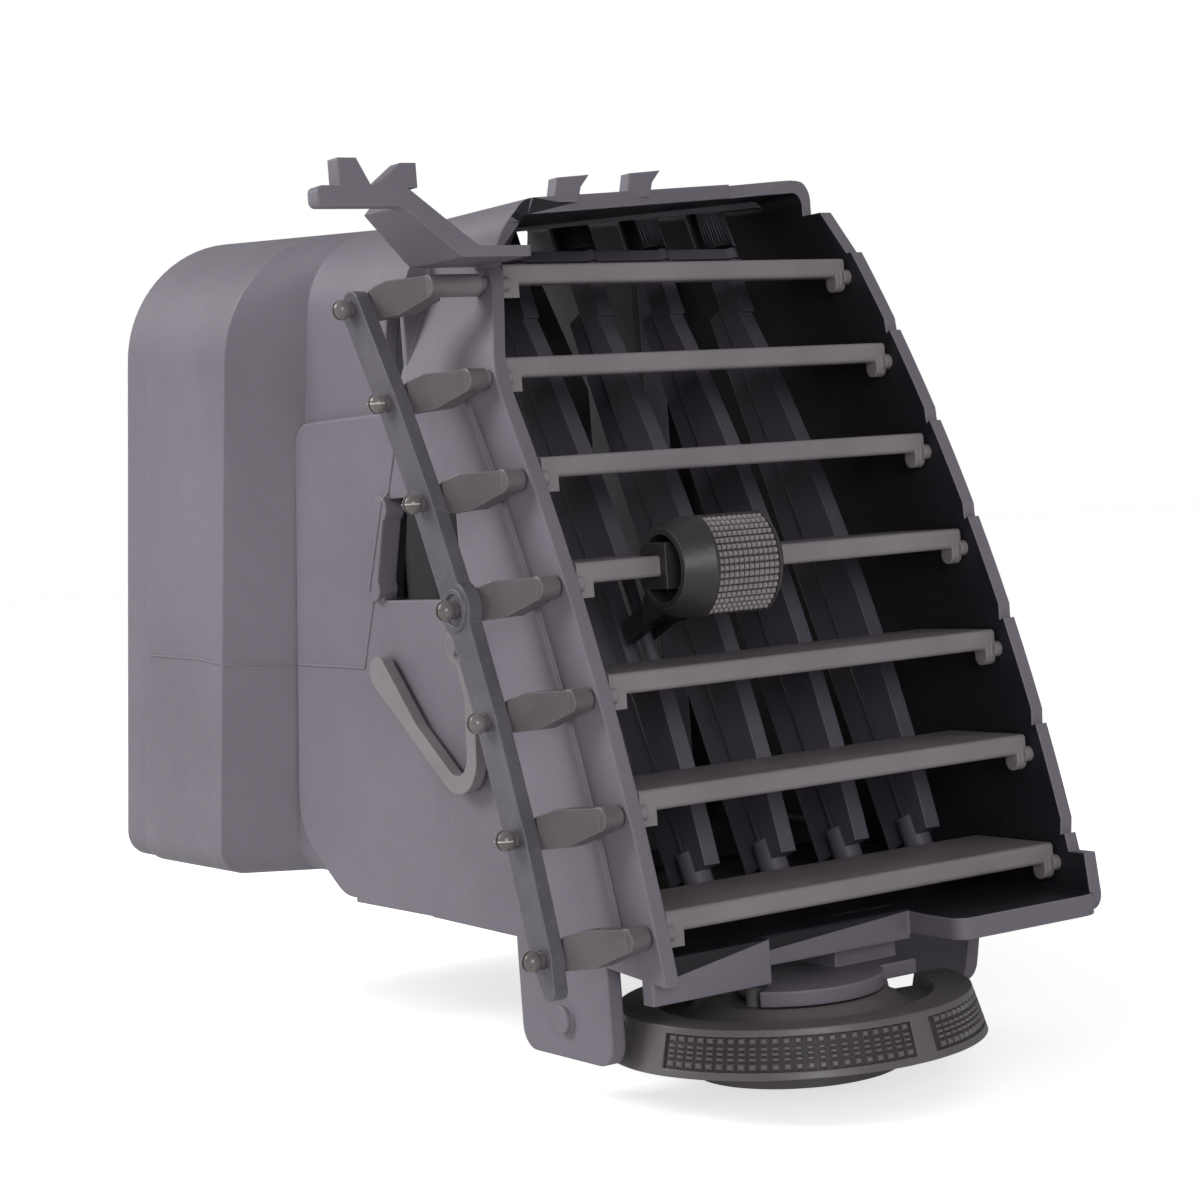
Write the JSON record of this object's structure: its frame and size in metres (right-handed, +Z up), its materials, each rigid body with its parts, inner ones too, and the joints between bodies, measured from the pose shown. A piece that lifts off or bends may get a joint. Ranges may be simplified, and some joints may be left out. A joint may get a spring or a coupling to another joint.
{
  "type": "dashboard air vent",
  "caption": "Tall car air vent: leaning bank of linked louvres with a sliding knob, upright vanes, side link bar, thumbwheel and shut-off flap in a tapering duct.",
  "frame": {"origin": "centre of the outlet, on the middle louvre's pivot axis", "axes": "+X along the louvres to the occupant's right, -Y out of the outlet towards the occupant, +Z up"},
  "size_m": [0.0933, 0.1579, 0.1231],
  "materials": {
    "housing_plastic": "fine-grained moulded, dark purple-grey",
    "blade_plastic": "satin moulded, warm grey",
    "link_plastic": "fine-grained moulded, bluish grey",
    "knob_plastic": "knurled, satin warm grey",
    "vane_plastic": "satin moulded, grey",
    "wheel_plastic": "knurled, satin warm grey",
    "fork_plastic": "smooth, near black",
    "spring_plastic": "satin moulded, warm grey",
    "flap_plastic": "smooth moulded, black",
    "seal_rubber": "soft matt black"
  },
  "bodies": {
    "housing": {"duct_housing": "housing_plastic", "hook_spring": "spring_plastic", "wheel_clip": "flap_plastic"},
    "louvre_1": {"louvre_1": "blade_plastic"},
    "louvre_2": {"louvre_2": "blade_plastic"},
    "louvre_3": {"louvre_3": "blade_plastic"},
    "louvre_4": {"louvre_4": "blade_plastic"},
    "louvre_5": {"louvre_5": "blade_plastic"},
    "louvre_6": {"louvre_6": "blade_plastic"},
    "louvre_7": {"louvre_7": "blade_plastic"},
    "link_bar": {"louvre_link": "link_plastic"},
    "knob": {"knob": "knob_plastic", "knob_fork": "fork_plastic"},
    "vane_1": {"vane_1": "vane_plastic"},
    "vane_2": {"vane_2": "vane_plastic"},
    "vane_3": {"vane_3": "vane_plastic"},
    "vane_4": {"vane_4": "vane_plastic"},
    "vane_5": {"vane_5": "vane_plastic"},
    "vane_tie": {"vane_link": "vane_plastic"},
    "wheel": {"thumbwheel": "wheel_plastic"},
    "damper": {"damper_flap": "flap_plastic", "damper_seal": "seal_rubber", "damper_crank": "flap_plastic"},
    "push_rod": {"damper_rod": "flap_plastic"}
  },
  "joints": [
    {"name": "louvre_1_tilt", "type": "hinge", "parent": "housing", "child": "louvre_1", "pos_m": [0, 0.02131, 0.03957], "axis": [1, 0, 0], "range_deg": [-12, 18]},
    {"name": "louvre_2_tilt", "type": "hinge", "parent": "housing", "child": "louvre_2", "pos_m": [0, 0.01347, 0.02679], "axis": [1, 0, 0], "range_deg": [-12, 18]},
    {"name": "louvre_3_tilt", "type": "hinge", "parent": "housing", "child": "louvre_3", "pos_m": [0, 0.00636, 0.01358], "axis": [1, 0, 0], "range_deg": [-12, 18]},
    {"name": "louvre_4_tilt", "type": "hinge", "parent": "housing", "child": "louvre_4", "pos_m": [0, 0, 0], "axis": [1, 0, 0], "range_deg": [-12, 18]},
    {"name": "louvre_5_tilt", "type": "hinge", "parent": "housing", "child": "louvre_5", "pos_m": [0, -0.00559, -0.01392], "axis": [1, 0, 0], "range_deg": [-12, 18]},
    {"name": "louvre_6_tilt", "type": "hinge", "parent": "housing", "child": "louvre_6", "pos_m": [0, -0.0104, -0.02812], "axis": [1, 0, 0], "range_deg": [-12, 18]},
    {"name": "louvre_7_tilt", "type": "hinge", "parent": "housing", "child": "louvre_7", "pos_m": [0, -0.01441, -0.04258], "axis": [1, 0, 0], "range_deg": [-12, 18]},
    {"name": "link_bar_pivot", "type": "hinge", "parent": "louvre_4", "child": "link_bar", "pos_m": [-0.04325, 0.00839, -0.00208], "axis": [1, 0, 0], "range_deg": [-18, 12]},
    {"name": "knob_slide", "type": "slide", "parent": "louvre_4", "child": "knob", "axis": [1, 0, 0], "range_m": [-0.0028, 0.0028]},
    {"name": "vane_1_swing", "type": "hinge", "parent": "housing", "child": "vane_1", "pos_m": [-0.0232, 0.02155, -0.00937], "axis": [0, 0.3987, 0.9171], "range_deg": [-30, 30]},
    {"name": "vane_2_swing", "type": "hinge", "parent": "housing", "child": "vane_2", "pos_m": [-0.0106, 0.02155, -0.00937], "axis": [0, 0.3987, 0.9171], "range_deg": [-30, 30]},
    {"name": "vane_3_swing", "type": "hinge", "parent": "housing", "child": "vane_3", "pos_m": [0.002, 0.02155, -0.00937], "axis": [0, 0.3987, 0.9171], "range_deg": [-30, 30]},
    {"name": "vane_4_swing", "type": "hinge", "parent": "housing", "child": "vane_4", "pos_m": [0.0146, 0.02155, -0.00937], "axis": [0, 0.3987, 0.9171], "range_deg": [-30, 30]},
    {"name": "vane_5_swing", "type": "hinge", "parent": "housing", "child": "vane_5", "pos_m": [0.0272, 0.02155, -0.00937], "axis": [0, 0.3987, 0.9171], "range_deg": [-30, 30]},
    {"name": "vane_tie_pivot", "type": "hinge", "parent": "vane_3", "child": "vane_tie", "pos_m": [0.002, 0.04237, 0.04504], "axis": [0, 0.3987, 0.9171], "range_deg": [-30, 30]},
    {"name": "wheel_turn", "type": "hinge", "parent": "housing", "child": "wheel", "pos_m": [-0.00733, -0.00703, -0.058], "axis": [0, 0, 1], "range_deg": [-90, 0]},
    {"name": "damper_turn", "type": "hinge", "parent": "housing", "child": "damper", "pos_m": [0, 0.0725, 0], "axis": [0, 0, 1], "range_deg": [-90, 0]},
    {"name": "rod_pivot", "type": "hinge", "parent": "wheel", "child": "push_rod", "pos_m": [-0.01579, -0.01011, -0.051], "axis": [0, 0, 1], "range_deg": [0, 90]}
  ],
  "couplings": [
    {"joint": "louvre_1_tilt", "follows": "louvre_4_tilt", "ratio": 1},
    {"joint": "louvre_2_tilt", "follows": "louvre_4_tilt", "ratio": 1},
    {"joint": "louvre_3_tilt", "follows": "louvre_4_tilt", "ratio": 1},
    {"joint": "louvre_5_tilt", "follows": "louvre_4_tilt", "ratio": 1},
    {"joint": "louvre_6_tilt", "follows": "louvre_4_tilt", "ratio": 1},
    {"joint": "louvre_7_tilt", "follows": "louvre_4_tilt", "ratio": 1},
    {"joint": "link_bar_pivot", "follows": "louvre_4_tilt", "ratio": -1},
    {"joint": "knob_slide", "follows": "vane_3_swing", "m_per_rad": 0.0052},
    {"joint": "vane_1_swing", "follows": "vane_3_swing", "ratio": 1},
    {"joint": "vane_2_swing", "follows": "vane_3_swing", "ratio": 1},
    {"joint": "vane_4_swing", "follows": "vane_3_swing", "ratio": 1},
    {"joint": "vane_5_swing", "follows": "vane_3_swing", "ratio": 1},
    {"joint": "vane_tie_pivot", "follows": "vane_3_swing", "ratio": -1},
    {"joint": "wheel_turn", "follows": "damper_turn", "ratio": 1},
    {"joint": "rod_pivot", "follows": "damper_turn", "ratio": -1}
  ]
}
